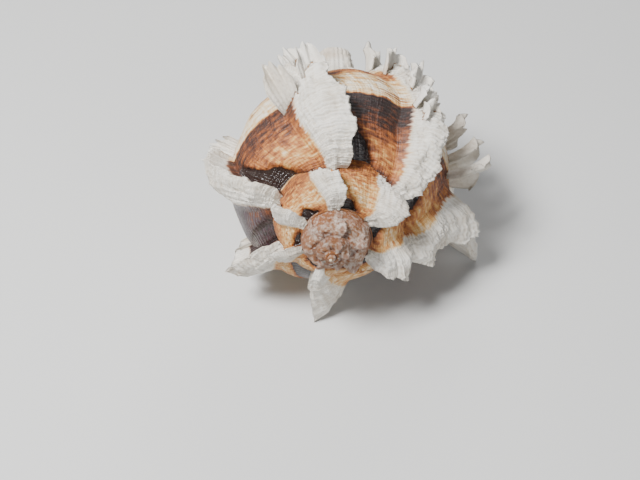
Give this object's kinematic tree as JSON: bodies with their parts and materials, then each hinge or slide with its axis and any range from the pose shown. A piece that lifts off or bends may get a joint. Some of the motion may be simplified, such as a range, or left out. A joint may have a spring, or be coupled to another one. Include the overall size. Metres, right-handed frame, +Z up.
{
  "type": "murex shell",
  "caption": "Spiny right-handed murex shell with frilled varices, a short stepped spire, an open mouth and a bent-up siphonal canal, resting mouth-down as a display or prop shell.",
  "frame": {"origin": "middle of the shell's box at the surface it rests on", "axes": "+Z up; the shell's axis runs along Y, the spire's tip towards -Y and the siphonal canal towards +Y; the outer lip is on +X"},
  "size_m": [0.0708, 0.0926, 0.061],
  "materials": {
    "shell_lime": "chalky white frilled varices over orange, tan and near-black spiral bands, satin; glossy rose mouth"
  },
  "bodies": {
    "root": {"murex_shell": "shell_lime"}
  },
  "joints": []
}
